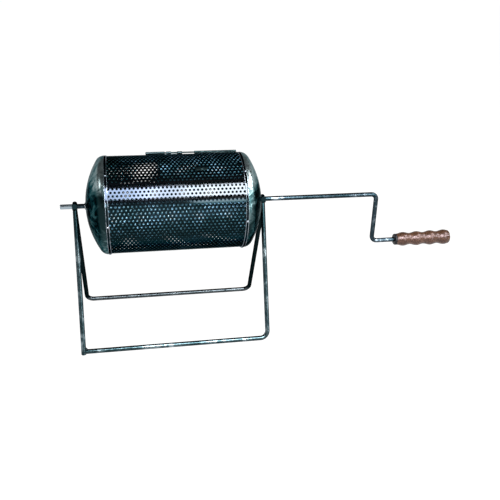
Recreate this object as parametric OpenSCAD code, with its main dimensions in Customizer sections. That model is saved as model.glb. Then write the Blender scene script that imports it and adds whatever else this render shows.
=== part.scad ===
// Hand-cranked chestnut roaster: a perforated drum with domed ends that turns
// in two open saddles on a stand of bent round bar.
// Sizes are millimetres. X runs along the shaft towards the crank, Z is up.

/* [Drum] */
// Outer diameter of the perforated sheet
drum_d = 200; // [150:1:260]
// Thickness of the perforated sheet
shell_t = 1; // [0.6:0.1:2]
// Length of the sheet from end to end
shell_len = 279; // [200:1:360]
// Openings along the sheet, standing for its much finer holes
vent_cols = 12; // [6:1:12]
// Rows of openings round the sheet
vent_rows = 24; // [12:2:24]
// Diameter of an opening as a share of the spacing
vent_share = 0.76; // [0.4:0.01:0.8]

/* [Domed ends] */
// Thickness of the pressed ends
cap_t = 1; // [0.8:0.1:3]
// Rise of the dome past the end of the sheet
cap_depth = 42; // [24:1:60]
// Radius of the rounded shoulder of the dome
knuckle_r = 18.5; // [10:0.5:22]
// Length of the skirt that laps over the sheet
skirt_len = 5.5; // [4:0.5:15]
// Extra height of the hem on the edge of the skirt
hem_t = 0.3; // [0.3:0.1:2]
// Width of the hem
hem_w = 1; // [0.8:0.1:3]

/* [Rivets of the ends] */
// Rivets round each skirt
rivet_count = 6; // [3:1:12]
// Diameter of a rivet head
rivet_head_d = 4.2; // [3:0.1:7]
// Height of a rivet head
rivet_head_h = 1.4; // [0.8:0.1:3]
// Angle of the first rivet from the top, towards the front
rivet_start = 155; // [0:1:180]
// Distance of the rivets from the end of the sheet
rivet_edge = 2.2; // [1.5:0.1:4]

/* [Shaft and crank] */
// Diameter of the round bar of the shaft and the crank
shaft_d = 10; // [8:0.1:14]
// Length of the free end past the left saddle
stub_len = 24; // [10:1:60]
// Distance from the right saddle to the middle of the crank arm
crank_reach = 256; // [120:1:400]
// Height between the shaft and the handle rod
crank_arm = 112; // [60:1:160]
// Bend radius of the bar, on its middle line
crank_bend_r = 12; // [10:0.5:25]
// Bare rod between the crank arm and the grip
rod_bare = 54; // [25:1:90]
// Outer diameter of the bosses welded on the domes
boss_d = 15; // [14:0.5:30]
// Length of each boss
boss_len = 1.5; // [1:0.5:12]

/* [Wooden grip] */
// Length of the grip with its ferrule
grip_len = 133; // [90:1:180]
// Diameter in the grooves at the inner end
grip_d_in = 25.4; // [22:0.1:36]
// Diameter in the grooves at the outer end
grip_d_out = 28.6; // [24:0.1:40]
// Height of the swells over the grooves
swell_rise = 3; // [0.5:0.1:4]
// Number of swells along the grip
swell_count = 4; // [2:1:6]
// Radius of the rounded outer end
grip_round = 4; // [1:0.5:6]
// Length of the ferrule
ferrule_len = 5; // [4:0.5:20]
// Wall of the ferrule
ferrule_t = 1.2; // [0.6:0.1:2]
// Rounding of the ferrule's inner edge
ferrule_edge = 2; // [0.5:0.1:3]
// Depth of the recess for the end cap
recess_depth = 7; // [5:0.5:12]
// Diameter of the recess for the end cap
recess_d = 19; // [15:0.5:22]

/* [Rod end] */
// Diameter of the end washer
washer_d = 17; // [13:0.5:18]
// Thickness of the end washer
washer_t = 1.5; // [0.8:0.1:2.5]
// Diameter of the end cap that is pressed on the rod
end_cap_d = 14; // [12.5:0.5:16]
// Length of the end cap
end_cap_len = 4; // [3:0.5:8]
// Depth of the bore of the end cap
end_cap_bore = 3; // [2:0.5:6]

/* [Stand] */
// Height of the shaft over the ground
axis_h = 290; // [220:1:400]
// Diameter of the round bar of the legs
leg_d = 10; // [8:0.1:14]
// Distance of the front bar from the shaft, seen from above
front_reach = 100; // [70:1:160]
// Distance of the rear bar from the shaft, seen from above
rear_reach = 128; // [70:1:160]
// Bend radius of the leg bars, on their middle line
leg_bend_r = 16; // [11:0.5:40]
// Reach of the weld web in the square corner of the front leg
web_reach = 9; // [4:0.5:20]
// Thickness of the weld web
web_t = 4; // [2:0.5:8]
// Drop from the shaft to the point where the legs meet
apex_drop = 14; // [13:0.5:25]
// Depth of the flat worn on the underside of the ground bars
foot_flat = 0.3; // [0.1:0.05:0.8]
// Side play of the drum at the left saddle
left_play = 15; // [1:0.5:40]

/* [Saddles] */
// Width of the saddle strip along the shaft
saddle_w = 10; // [8:0.5:20]
// Thickness of the saddle strip
saddle_t = 3; // [2:0.1:5]
// Height of the saddle arms over the shaft's middle
saddle_rise = 8; // [7:0.5:20]

/* [Door] */
// Length of the door along the drum
door_len = 81; // [40:1:110]
// Angle of the hinge line from the top, towards the front
hinge_angle = -18; // [-40:1:0]
// Angle of the front edge of the door from the top
door_front = 26; // [10:1:50]
// Thickness of the door sheet
door_t = 1; // [0.6:0.1:2]
// Lap of the door over the edge of its opening
door_lap = 6; // [3:0.5:10]

/* [Hinge] */
// Diameter of the hinge rod
rod_d = 3; // [2:0.1:5]
// Wall of the rolled knuckles
knuckle_t = 1.1; // [0.6:0.1:2]
// Thickness of the hinge leaves
leaf_t = 1; // [0.6:0.1:2]
// Width of the leaves round the drum
leaf_w = 17; // [15:0.5:30]
// Bare rod between the hinge bracket and the door
bracket_gap = 25; // [5:0.5:60]
// Length of the hinge bracket
bracket_len = 75; // [40:1:95]
// Length of the long knuckle of the bracket
long_knuckle = 39; // [20:1:50]
// Length of each short knuckle of the bracket
short_knuckle = 10; // [5:0.5:12]
// Bare rod between the long and the first short knuckle
knuckle_gap = 3; // [1:0.5:8]
// Length of the lug at the right end of the rod
lug_len = 6.5; // [4:0.5:7]
// Distance of the lug from the skirt of the right end
lug_margin = 1.1; // [0.8:0.1:20]
// Length of the rod past its outer knuckles
rod_past = 0.6; // [0.2:0.1:1]
// Diameter of the hinge rivet heads
hinge_rivet_d = 5; // [4:0.1:7]
// Height of the hinge rivet heads
hinge_rivet_h = 1.2; // [0.6:0.1:2]
// Diameter of the hinge rivet shanks
hinge_shank_d = 3; // [2:0.1:3.5]
// Distance of the outer rivets from the ends of a leaf
rivet_inset = 9; // [5:0.5:15]

/* [Turn button] */
// Length of the turn button
button_len = 26; // [18:0.5:36]
// Width of the turn button
button_w = 8; // [7:0.5:14]
// Thickness of the turn button
button_t = 1.2; // [0.8:0.1:2.5]
// Position of the button's pivot from the left edge of the door
button_x = 6; // [4.5:0.5:20]
// Distance of the pivot from the front edge of the door
button_off = 7.5; // [7:0.1:10]
// Diameter of the pivot in the button
post_d = 3; // [2:0.1:4]
// Diameter of the shoulder and the head of the pivot
post_head_d = 6; // [5:0.1:8]
// Height of the head of the pivot
post_head_h = 1.4; // [0.8:0.1:3]

/* [Clearances] */
// Radial running clearance of turning parts
run_fit = 0.05; // [0.02:0.01:0.1]
// Radial clearance of fixed parts on their seats
seat_fit = 0.05; // [0.01:0.01:0.1]
// Gap between the faces of parts that move past each other
side_gap = 0.4; // [0.3:0.05:1]
// Gap between the door sheet and the drum
door_gap = 0.3; // [0.2:0.05:1]

/* [Hidden] */
$fn = 72;

drum_r = drum_d / 2;
shaft_r = shaft_d / 2;
leg_r = leg_d / 2;
eps = 1;
core_reach = leg_r / 5;

// Domed ends
shell_half = shell_len / 2;
cap_in_r = drum_r + seat_fit;
cap_out_r = cap_in_r + cap_t;
knuckle_mid = cap_out_r - knuckle_r;
crown_r = (cap_depth * cap_depth + knuckle_mid * knuckle_mid - knuckle_r * knuckle_r)
    / (2 * (cap_depth - knuckle_r));
crown_angle = asin(knuckle_mid / (crown_r - knuckle_r));
dome_end = shell_half + cap_depth;
rivet_x = shell_half - rivet_edge;
rivet_shank_d = rivet_head_d / 2;

// Openings of the sheet, clear of the skirts, the hinge, the door and the button
vent_step = (shell_len - 3 * skirt_len) / (vent_cols + 0.5);
vent_turn = 360 / vent_rows;
vent_d = vent_share * min(vent_step, PI * drum_d / vent_rows);
vent_clear = mm_to_deg(vent_d / 2 + post_head_d / 2 + eps);

// Places along the shaft
right_saddle_x = dome_end + boss_len + side_gap + saddle_w / 2;
left_saddle_x = -(dome_end + boss_len + left_play + saddle_w / 2);
tip_x = left_saddle_x - saddle_w / 2 - stub_len;
arm_x = right_saddle_x + crank_reach;
grip_x = arm_x + rod_bare;
grip_end = grip_x + grip_len;
rod_z = axis_h - crank_arm;
washer_x = grip_end - recess_depth + side_gap;
end_cap_x = washer_x + washer_t;
rod_end = end_cap_x + end_cap_bore;
swell_pitch = (grip_len - ferrule_len + grip_round) / swell_count;

// Saddles and legs
saddle_in_r = shaft_r + run_fit;
saddle_out_r = saddle_in_r + saddle_t;
apex_z = axis_h - apex_drop;
ground_z = leg_r - foot_flat;
leg_drop = apex_z - ground_z;

// Door and hinge, angles in degrees round the drum
rod_r = rod_d / 2;
knuckle_bore_r = rod_r + run_fit;
knuckle_out_r = knuckle_bore_r + knuckle_t;
rod_rad = drum_r + door_gap + knuckle_out_r;
door_in_r = drum_r + door_gap;
door_out_r = door_in_r + door_t;
knuckle_half = asin(knuckle_out_r / rod_rad);
edge_gap = mm_to_deg(side_gap);
door_rear = hinge_angle + knuckle_half + edge_gap;
leaf_angle = mm_to_deg(leaf_w);
lap_angle = mm_to_deg(door_lap);
rivet_back = mm_to_deg(leaf_w - hinge_rivet_d / 2 - 2);
mouth_rear = hinge_angle + knuckle_half + lap_angle;
mouth_front = door_front - lap_angle;
lug_x = shell_half - skirt_len - lug_margin - lug_len;
door_end = lug_x - side_gap;
door_x = door_end - door_len;
hinge_rod_end = lug_x + lug_len + rod_past;
bracket_end = door_x - bracket_gap;
bracket_x = bracket_end - bracket_len;
short_1 = bracket_x + long_knuckle + knuckle_gap;
short_2 = bracket_x + bracket_len - short_knuckle;
bracket_rivet_x = [bracket_x + rivet_inset, bracket_x + bracket_len / 2, bracket_end - rivet_inset];
door_rivet_x = [door_x + rivet_inset, door_x + door_len / 2, door_end - rivet_inset];
leaf_in_r = drum_r + seat_fit;
leaf_out_r = leaf_in_r + leaf_t;

// Turn button
button_angle = door_front + mm_to_deg(button_off);
button_place = door_x + button_x;
button_low = door_out_r + door_gap;
button_high = button_low + button_t;

// The origin lies on the ground under the middle of the whole part
origin_x = (tip_x + grip_end) / 2;
origin_y = (rear_reach - front_reach) / 2;

function mm_to_deg(d) = d / drum_r * 180 / PI;

// Turns a shape drawn round Z so that it lies round the shaft, angle 0 at the top
module round_shaft() {
    translate([0, 0, axis_h])
        rotate([0, 90, 0])
            rotate([0, 0, 180])
                children();
}

// A bar along the shaft's direction
module bar_x(x0, x1, r, z = axis_h) {
    translate([x0, 0, z])
        rotate([0, 90, 0])
            cylinder(h = x1 - x0, r = r);
}

// A curved strip of sheet on the drum
module strip(x0, len, r_in, r_out, a0, a1) {
    round_shaft()
        rotate([0, 0, a0])
            rotate_extrude(angle = a1 - a0)
                translate([r_in, x0])
                    square([r_out - r_in, len]);
}

// Places a shape on the drum, its Z pointing away from the shaft
module on_drum(x, a) {
    translate([x, 0, axis_h])
        rotate([a, 0, 0])
            children();
}

// A tube round the hinge rod
module knuckle(x0, len, r) {
    on_drum(x0, hinge_angle)
        translate([0, 0, rod_rad])
            rotate([0, 90, 0])
                cylinder(h = len, r = r);
}

// A quarter bend of bar in the XZ plane, turned by a
module bend(r, d, a) {
    rotate([90, 0, 0])
        rotate([0, 0, a]) {
            rotate_extrude(angle = 90)
                translate([r, 0])
                    circle(d = d);
            // The core of the bar runs on into the straight stretches
            translate([r, -core_reach, 0])
                rotate([-90, 0, 0])
                    cylinder(h = 2 * core_reach, d = d - 2 * core_reach);
            translate([-core_reach, r, 0])
                rotate([0, 90, 0])
                    cylinder(h = 2 * core_reach, d = d - 2 * core_reach);
        }
}

// A rivet with its head on radius r, its shank going in by depth
module rivet(r, head_d, head_h, shank_d, depth) {
    translate([0, 0, r - depth])
        cylinder(h = depth + head_h / 2, d = shank_d);
    translate([0, 0, r])
        rotate_extrude()
            polygon([[0, 0], [head_d / 2, 0], [head_d / 2, head_h * 0.35],
                [head_d * 0.42, head_h * 0.7], [head_d * 0.27, head_h * 0.93], [0, head_h]]);
}

// One leg bar, hanging from the point where the legs meet and leaning to its foot,
// with its left corner bent, or square and welded
module leg(reach, side, welded) {
    lean = atan(reach / leg_drop);
    slant = sqrt(reach * reach + leg_drop * leg_drop);
    left_low = welded ? -slant - leg_d : leg_bend_r - slant;
    bar_from = welded ? left_saddle_x : left_saddle_x + leg_bend_r;
    web = leg_r + web_reach;
    difference() {
        translate([0, 0, apex_z])
            rotate([side * lean, 0, 0]) {
                translate([left_saddle_x, 0, left_low])
                    cylinder(h = apex_drop - left_low, r = leg_r);
                translate([right_saddle_x, 0, leg_bend_r - slant])
                    cylinder(h = slant - leg_bend_r + apex_drop, r = leg_r);
                bar_x(bar_from, right_saddle_x - leg_bend_r, leg_r, -slant);
                if (welded)
                    translate([left_saddle_x, web_t / 2, -slant])
                        rotate([90, 0, 0])
                            linear_extrude(height = web_t)
                                polygon([[0, 0], [web, 0], [0, web]]);
                else
                    translate([left_saddle_x + leg_bend_r, 0, leg_bend_r - slant])
                        bend(leg_bend_r, leg_d, 180);
                translate([right_saddle_x - leg_bend_r, 0, leg_bend_r - slant])
                    bend(leg_bend_r, leg_d, 270);
            }
        // Mitre where the two legs meet
        translate([left_saddle_x - leg_d, side < 0 ? 0 : -4 * leg_d, apex_z - 4 * leg_d])
            cube([right_saddle_x - left_saddle_x + 2 * leg_d, 4 * leg_d, 8 * leg_d]);
        // Seats of the saddles
        bar_x(left_saddle_x - leg_d, right_saddle_x + leg_d, saddle_out_r + seat_fit);
        // Flat on the underside
        translate([left_saddle_x - leg_d, side < 0 ? -2 * reach : 0, -leg_d])
            cube([right_saddle_x - left_saddle_x + 2 * leg_d, 2 * reach, leg_d]);
    }
}

module front_leg() {
    color([0.10, 0.13, 0.14])
        leg(front_reach, -1, true);
}

module rear_leg() {
    color([0.10, 0.13, 0.14])
        leg(rear_reach, 1, false);
}

// A strip bent to a U that is open at the top, with round arm ends
module saddle(x) {
    color([0.12, 0.15, 0.16])
        intersection() {
            difference() {
                union() {
                    bar_x(x - saddle_w / 2, x + saddle_w / 2, saddle_out_r);
                    translate([x - saddle_w / 2, -saddle_out_r, axis_h])
                        cube([saddle_w, 2 * saddle_out_r, saddle_rise]);
                }
                bar_x(x - saddle_w, x + saddle_w, saddle_in_r);
                translate([x - saddle_w, -saddle_in_r, axis_h])
                    cube([2 * saddle_w, 2 * saddle_in_r, saddle_rise + eps]);
            }
            translate([x, 2 * saddle_out_r, axis_h + saddle_rise - saddle_w / 2])
                rotate([90, 0, 0])
                    linear_extrude(height = 4 * saddle_out_r)
                        union() {
                            circle(d = saddle_w);
                            translate([-saddle_w / 2, -saddle_rise - 2 * saddle_out_r])
                                square([saddle_w, saddle_rise + 2 * saddle_out_r]);
                        }
        }
}

module left_saddle() {
    saddle(left_saddle_x);
}

module right_saddle() {
    saddle(right_saddle_x);
}

module drum_shell() {
    color([0.16, 0.20, 0.22])
        difference() {
            bar_x(-shell_half, shell_half, drum_r);
            bar_x(-shell_half - eps, shell_half + eps, drum_r - shell_t);
            strip(door_x + door_lap, door_len - 2 * door_lap, drum_r - 4 * shell_t,
                drum_r + 4 * shell_t, mouth_rear, mouth_front);
            button_seat(hinge_shank_d / 2 + seat_fit);
            bracket_seats(hinge_shank_d / 2 + seat_fit);
            lug_seat(hinge_shank_d / 2 + seat_fit);
            for (side = [-1, 1])
                skirt_seats(side, rivet_shank_d / 2 + seat_fit);
            vents();
        }
}

// Rows of openings, every second row moved on by half a step
function vent_x(row, col) =
    -(vent_cols - 0.5 - row % 2) * vent_step / 2 + col * vent_step;

function vent_free(x, a) =
    x < bracket_x - vent_d || a < hinge_angle - leaf_angle - vent_clear || a > button_angle + vent_clear;

module vents() {
    for (row = [0 : vent_rows - 1])
        for (col = [0 : vent_cols - 1])
            if (vent_free(vent_x(row, col), (row + 0.5) * vent_turn - 180))
                seat_hole(vent_x(row, col), (row + 0.5) * vent_turn - 180, vent_d / 2);
}

// Holes for the rivets, one module for each row
module seat_hole(x, a, r) {
    on_drum(x, a)
        translate([0, 0, drum_r - 4 * shell_t])
            cylinder(h = 8 * shell_t + 4 * door_t, r = r);
}

module button_seat(r) {
    seat_hole(button_place, button_angle, r);
}

module bracket_seats(r) {
    for (x = bracket_rivet_x)
        seat_hole(x, hinge_angle - rivet_back, r);
}

module lug_seat(r) {
    seat_hole(lug_x + lug_len / 2, hinge_angle - rivet_back, r);
}

module skirt_seats(side, r) {
    for (i = [0 : rivet_count - 1])
        seat_hole(side * rivet_x, rivet_start + i * 360 / rivet_count, r);
}

// Profile of a domed end, radius first, then the height over the sheet's end
function arc_points(cr, ch, r, a0, a1, n) =
    [for (i = [0 : n]) let (a = a0 + (a1 - a0) * i / n) [cr + r * sin(a), ch + r * cos(a)]];

module dome() {
    hole_r = shaft_r + seat_fit;
    low = cap_depth - crown_r;
    a_out = asin(hole_r / crown_r);
    a_in = asin(hole_r / (crown_r - cap_t));
    outer = concat(
        [[cap_in_r, -skirt_len], [cap_out_r + hem_t, -skirt_len],
         [cap_out_r + hem_t, hem_w - skirt_len], [cap_out_r, hem_w - skirt_len]],
        arc_points(knuckle_mid, 0, knuckle_r, 90, crown_angle, 12),
        arc_points(0, low, crown_r, crown_angle * 0.95, a_out, 12));
    inner = concat(
        arc_points(0, low, crown_r - cap_t, a_in, crown_angle * 0.95, 12),
        arc_points(knuckle_mid, 0, knuckle_r - cap_t, crown_angle, 90, 12));
    rotate_extrude($fn = 144)
        polygon(concat(outer, inner));
}

module cap(side) {
    color([0.28, 0.33, 0.34])
        difference() {
            translate([side * shell_half, 0, axis_h])
                rotate([0, side * 90, 0])
                    dome();
            skirt_seats(side, rivet_shank_d / 2 + seat_fit);
        }
}

module left_cap() {
    cap(-1);
}

module right_cap() {
    cap(1);
}

module skirt_rivets(side) {
    color([0.30, 0.34, 0.35])
        for (i = [0 : rivet_count - 1])
            on_drum(side * rivet_x, rivet_start + i * 360 / rivet_count)
                rivet(cap_out_r, rivet_head_d, rivet_head_h, rivet_shank_d, cap_t + shell_t);
}

module left_rivets() {
    skirt_rivets(-1);
}

module right_rivets() {
    skirt_rivets(1);
}

// One bar: free end, shaft, crank arm and handle rod
module crank_shaft() {
    color([0.14, 0.18, 0.20]) {
        bar_x(tip_x, arm_x - crank_bend_r, shaft_r);
        translate([arm_x - crank_bend_r, 0, axis_h - crank_bend_r])
            bend(crank_bend_r, shaft_d, 0);
        translate([arm_x, 0, rod_z + crank_bend_r])
            cylinder(h = crank_arm - 2 * crank_bend_r, r = shaft_r);
        translate([arm_x + crank_bend_r, 0, rod_z + crank_bend_r])
            bend(crank_bend_r, shaft_d, 180);
        bar_x(arm_x + crank_bend_r, rod_end, shaft_r, rod_z);
    }
}

module boss(x0) {
    color([0.35, 0.38, 0.38])
        difference() {
            bar_x(x0, x0 + boss_len, boss_d / 2);
            bar_x(x0 - eps, x0 + boss_len + eps, shaft_r + seat_fit);
        }
}

module left_boss() {
    boss(-dome_end - boss_len);
}

module right_boss() {
    boss(dome_end);
}

// A profile drawn across the drum and pushed along it
module along_drum(x0, len) {
    round_shaft()
        translate([0, 0, x0])
            linear_extrude(height = len)
                children();
}

// The rolled end of a leaf, drawn across the rod
module knuckle_ring() {
    difference() {
        translate([rod_rad * cos(hinge_angle), rod_rad * sin(hinge_angle)])
            circle(r = knuckle_out_r);
        translate([rod_rad * cos(hinge_angle), rod_rad * sin(hinge_angle)])
            circle(r = knuckle_bore_r);
    }
}

// A leaf from the angle a0 to the angle a1, drawn across the drum
module leaf_arc(r_in, r_out, a0, a1) {
    reach = 2 * r_out;
    intersection() {
        difference() {
            circle(r = r_out, $fn = 360);
            circle(r = r_in, $fn = 360);
        }
        polygon([[0, 0], [reach * cos(a0), reach * sin(a0)], [reach * cos(a1), reach * sin(a1)]]);
    }
}

// The fixed leaf reaches under the rod and ends just past the wall of the knuckle
module fixed_leaf() {
    leaf_arc(leaf_in_r, leaf_out_r, hinge_angle - leaf_angle, hinge_angle);
}

// The fixed hinge leaf with one long and two short rolled knuckles
module hinge_bracket() {
    color([0.40, 0.45, 0.45])
        difference() {
            union() {
                along_drum(bracket_x, bracket_len)
                    fixed_leaf();
                along_drum(bracket_x, long_knuckle)
                    knuckle_ring();
                along_drum(short_1, short_knuckle)
                    knuckle_ring();
                along_drum(short_2, short_knuckle)
                    knuckle_ring();
            }
            bracket_seats(hinge_shank_d / 2 + seat_fit);
        }
}

module hinge_lug() {
    color([0.40, 0.45, 0.45])
        difference() {
            along_drum(lug_x, lug_len)
                union() {
                    fixed_leaf();
                    knuckle_ring();
                }
            lug_seat(hinge_shank_d / 2 + seat_fit);
        }
}

module hinge_rod() {
    color([0.45, 0.48, 0.48])
        knuckle(bracket_x - rod_past, hinge_rod_end - bracket_x + rod_past, rod_r);
}

module leaf_rivet(x, a, r, depth) {
    on_drum(x, a)
        rivet(r, hinge_rivet_d, hinge_rivet_h, hinge_shank_d, depth);
}

module hinge_rivets() {
    color([0.42, 0.45, 0.45]) {
        for (x = bracket_rivet_x)
            leaf_rivet(x, hinge_angle - rivet_back, leaf_out_r, leaf_t + shell_t);
        leaf_rivet(lug_x + lug_len / 2, hinge_angle - rivet_back, leaf_out_r, leaf_t + shell_t);
    }
}

// The pivot of the turn button: foot in the sheet, shoulder, pin and head
module latch_post() {
    color([0.42, 0.45, 0.45])
        on_drum(button_place, button_angle) {
            translate([0, 0, drum_r - shell_t])
                cylinder(h = shell_t + eps, d = hinge_shank_d);
            translate([0, 0, drum_r + seat_fit])
                cylinder(h = button_low - drum_r - 2 * seat_fit, d = post_head_d);
            translate([0, 0, drum_r + eps])
                cylinder(h = button_high - drum_r - eps + post_head_h / 2, d = post_d);
            translate([0, 0, button_high + seat_fit])
                cylinder(h = post_head_h, d = post_head_d);
        }
}

module door_holes(r) {
    for (x = door_rivet_x)
        on_drum(x, hinge_angle + rivet_back)
            translate([0, 0, drum_r - 4 * shell_t])
                cylinder(h = 8 * shell_t + 4 * door_t, r = r);
}

module door_panel() {
    color([0.18, 0.22, 0.23])
        difference() {
            strip(door_x, door_len, door_in_r, door_out_r, door_rear, door_front);
            door_holes(hinge_shank_d / 2 + seat_fit);
        }
}

// The moving hinge leaf, lying on the door sheet, rolled round the rod
module door_knuckle() {
    top_r = door_out_r + seat_fit + leaf_t;
    color([0.40, 0.45, 0.45])
        difference() {
            along_drum(door_x, door_len)
                union() {
                    difference() {
                        leaf_arc(top_r - leaf_t, top_r, hinge_angle, hinge_angle + leaf_angle);
                        translate([rod_rad * cos(hinge_angle), rod_rad * sin(hinge_angle)])
                            circle(r = knuckle_bore_r);
                    }
                    knuckle_ring();
                }
            door_holes(hinge_shank_d / 2 + seat_fit);
        }
}

module door_rivets() {
    color([0.42, 0.45, 0.45])
        for (x = door_rivet_x)
            leaf_rivet(x, hinge_angle + rivet_back, door_out_r + seat_fit + leaf_t, leaf_t + door_t);
}

module latch_button() {
    half = button_len / 2 - button_w / 2;
    color([0.40, 0.45, 0.45])
        on_drum(button_place, button_angle)
            translate([0, 0, button_low])
                difference() {
                    linear_extrude(height = button_t)
                        union() {
                            square([2 * half, button_w], center = true);
                            translate([-half, 0])
                                circle(d = button_w);
                            translate([half, 0])
                                circle(d = button_w);
                        }
                    translate([0, 0, -eps])
                        cylinder(h = button_t + 2 * eps, d = post_d + 2 * run_fit);
                }
}

// Radius of the turned grip at the distance s from its inner end
function grip_r(s) =
    (grip_d_in + (grip_d_out - grip_d_in) * s / grip_len) / 2
    + swell_rise * (0.5 - 0.5 * cos(360 * (s - ferrule_len) / swell_pitch));

module wood_grip() {
    bore_r = shaft_r + run_fit;
    neck_r = grip_r(ferrule_len) - ferrule_t;
    steps = 48;
    wood_from = ferrule_len;
    wood_to = grip_len - grip_round;
    step = (wood_to - wood_from) / steps;
    body = [for (i = [0 : steps]) let (s = wood_from + step * i) [grip_r(s), s]];
    end_r = grip_r(wood_to) - grip_round;
    round_end = [for (i = [1 : 6]) let (a = 90 - 15 * i)
        [end_r + grip_round * sin(a), wood_to + grip_round * cos(a)]];
    color([0.35, 0.22, 0.13])
        translate([grip_x, 0, rod_z])
            rotate([0, 90, 0])
                rotate_extrude()
                    polygon(concat(
                        [[bore_r, ferrule_t], [neck_r, ferrule_t], [neck_r, ferrule_len]],
                        body, round_end,
                        [[recess_d / 2, grip_len], [recess_d / 2, grip_len - recess_depth],
                         [bore_r, grip_len - recess_depth]]));
}

// A steel cup on the inner end of the grip
module grip_ferrule() {
    outer_r = grip_r(ferrule_len);
    neck_r = outer_r - ferrule_t + seat_fit;
    bore_r = shaft_r + run_fit;
    color([0.06, 0.06, 0.06])
        translate([grip_x, 0, rod_z])
            rotate([0, 90, 0])
                rotate_extrude()
                    polygon([[bore_r, 0], [outer_r - ferrule_edge, 0],
                        [outer_r - ferrule_edge * 0.3, ferrule_edge * 0.3], [outer_r, ferrule_edge],
                        [outer_r, ferrule_len - seat_fit], [neck_r, ferrule_len - seat_fit],
                        [neck_r, ferrule_t - seat_fit], [bore_r, ferrule_t - seat_fit]]);
}

module end_washer() {
    color([0.45, 0.47, 0.48])
        difference() {
            bar_x(washer_x, washer_x + washer_t, washer_d / 2, rod_z);
            bar_x(washer_x - eps, washer_x + washer_t + eps, shaft_r + seat_fit, rod_z);
        }
}

module end_cap() {
    color([0.45, 0.47, 0.48])
        difference() {
            bar_x(end_cap_x, end_cap_x + end_cap_len, end_cap_d / 2, rod_z);
            bar_x(end_cap_x - eps, end_cap_x + end_cap_bore + seat_fit, shaft_r + seat_fit, rod_z);
        }
}

translate([-origin_x, -origin_y, 0]) {
    front_leg();
    rear_leg();
    left_saddle();
    right_saddle();
    drum_shell();
    left_cap();
    right_cap();
    left_rivets();
    right_rivets();
    crank_shaft();
    left_boss();
    right_boss();
    hinge_bracket();
    hinge_lug();
    hinge_rod();
    hinge_rivets();
    latch_post();
    door_panel();
    door_knuckle();
    door_rivets();
    latch_button();
    wood_grip();
    grip_ferrule();
    end_washer();
    end_cap();
}
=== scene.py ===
from math import asin, atan, atan2, cos, hypot, pi, radians, sin, sqrt

import bmesh
import bpy
from mathutils import Matrix, Vector


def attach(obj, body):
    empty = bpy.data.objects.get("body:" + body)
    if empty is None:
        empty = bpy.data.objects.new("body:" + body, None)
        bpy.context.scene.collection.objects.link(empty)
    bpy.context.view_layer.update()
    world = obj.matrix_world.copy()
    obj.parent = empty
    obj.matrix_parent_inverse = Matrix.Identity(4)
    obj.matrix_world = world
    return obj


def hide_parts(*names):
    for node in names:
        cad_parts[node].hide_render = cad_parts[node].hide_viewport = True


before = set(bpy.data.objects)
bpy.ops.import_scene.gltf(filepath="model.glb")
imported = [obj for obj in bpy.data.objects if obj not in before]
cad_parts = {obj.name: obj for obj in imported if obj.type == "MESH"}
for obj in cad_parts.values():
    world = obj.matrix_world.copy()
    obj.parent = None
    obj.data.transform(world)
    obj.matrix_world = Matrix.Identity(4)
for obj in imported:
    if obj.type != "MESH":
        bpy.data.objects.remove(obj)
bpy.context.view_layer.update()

# Sizes in metres, measured from the middle of the drum, as in the construction
MM = 0.001
DRUM_MIDDLE = Vector((-0.1997, -0.0140, 0.290))
GROUND_Z = -0.290

# Clearances, small edges and sides of turned pieces
SEAT = 0.05 * MM
SIDE_GAP = 0.4 * MM
DOOR_GAP = 0.3 * MM
EDGE = 0.3 * MM
NEAR = 1e-6
DOME_SIDES = 128
GRIP_SIDES = 64
COLLAR_SIDES = 40
KNUCKLE_SIDES = 28
PIN_SIDES = 24
RIVET_SIDES = 20
HEAD_STEPS = 6

# Perforated sheet, with its clear patches by place along the shaft and angle
DRUM_R = 100 * MM
SHEET_T = 1 * MM
SHEET_HALF = 139.5 * MM
HOLE_R = 2.5 * MM
CLEAR_HOLE_R = 2.3 * MM
# Painted shade: most holes are drawn in to this inner radius, so less light shows through the drum.
SHADE_NARROWED_HOLE_R = 1.05 * MM
CLEAR_PATCHES = ((-115 * MM, -30 * MM, 14, 46), (-110 * MM, -28 * MM, -86, -48))
HOLE_PITCH = 8 * MM
HOLE_ROWS = 90
HOLE_SIDES = 12
ROW_STEP = 2 * pi * DRUM_R / HOLE_ROWS
FIRST_ROW = -22
DRUM_COLUMNS = (-18, 19)
DOOR_COLUMNS = (4, 18)
DOOR_ROWS = (-4, 8)

# Domed ends and their rivets
CAP_T = 1 * MM
CAP_DEPTH = 42 * MM
SHOULDER_R = 18.5 * MM
CAP_IN_R = DRUM_R + SEAT
CAP_OUT_R = CAP_IN_R + CAP_T
DOME_END = SHEET_HALF + CAP_DEPTH
SKIRT = 5.5 * MM
HEM_R = 0.5 * MM
HEM_T = 0.3 * MM
HEM_TOP_R = CAP_OUT_R + HEM_T
END_RIVETS = 6
END_RIVET_START = 155
END_RIVET_X = SHEET_HALF - 2.2 * MM
END_RIVET_HEAD_R = 2.1 * MM
END_RIVET_HEAD_H = 1.4 * MM
END_RIVET_SHANK_R = 1.05 * MM

# Saddles, shaft and crank; the boss is rounded by shares of its length and drops in radius
BAR_R = 5 * MM
BAR_SIDES = 32
BEND_STEPS = 14
BORE_R = BAR_R + SEAT
BOSS_R = 7.5 * MM
BOSS_LEN = 1.5 * MM
BOSS_ROUND = ((0, 0), (0.25, 0), (0.78, 0.2 * MM), (0.95, 0.9 * MM), (1, 1.8 * MM))
SADDLE_W = 10 * MM
SADDLE_T = 3 * MM
SADDLE_RISE = 8 * MM
SADDLE_OUT_R = BORE_R + SADDLE_T
LEFT_PLAY = 15 * MM
LEFT_SADDLE_X = -(DOME_END + BOSS_LEN + LEFT_PLAY + SADDLE_W / 2)
RIGHT_SADDLE_X = DOME_END + BOSS_LEN + SIDE_GAP + SADDLE_W / 2
STUB_LEN = 24 * MM
TIP_X = LEFT_SADDLE_X - SADDLE_W / 2 - STUB_LEN
TIP_ROUND = 1.2 * MM
CRANK_REACH = 256 * MM
ARM_X = RIGHT_SADDLE_X + CRANK_REACH
CRANK_BEND = 12 * MM
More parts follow.
